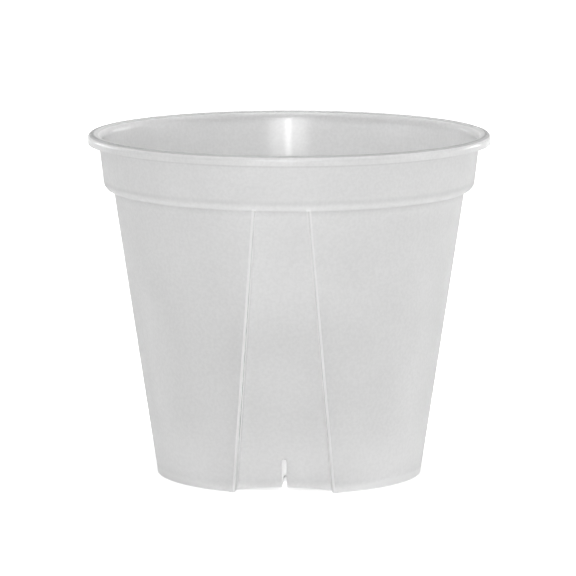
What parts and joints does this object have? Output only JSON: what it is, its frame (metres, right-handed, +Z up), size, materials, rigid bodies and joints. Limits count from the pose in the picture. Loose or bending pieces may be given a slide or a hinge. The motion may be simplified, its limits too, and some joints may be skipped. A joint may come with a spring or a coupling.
{
  "type": "orchid pot",
  "caption": "Tapered see-through orchid pot with a rolled rim, a stepped collar, flat sunk panels and narrow drainage slots at the foot.",
  "frame": {"origin": "centre of the pot's foot, on the surface it stands on", "axes": "+Z up along the pot's axis, out of its mouth; -Y faces the middle of one sunk panel"},
  "size_m": [0.13, 0.13, 0.1108],
  "materials": {
    "frosted_plastic": "translucent frosted polypropylene, satin, with a faint flow mottle"
  },
  "bodies": {
    "root": {"pot": "frosted_plastic"}
  },
  "joints": []
}
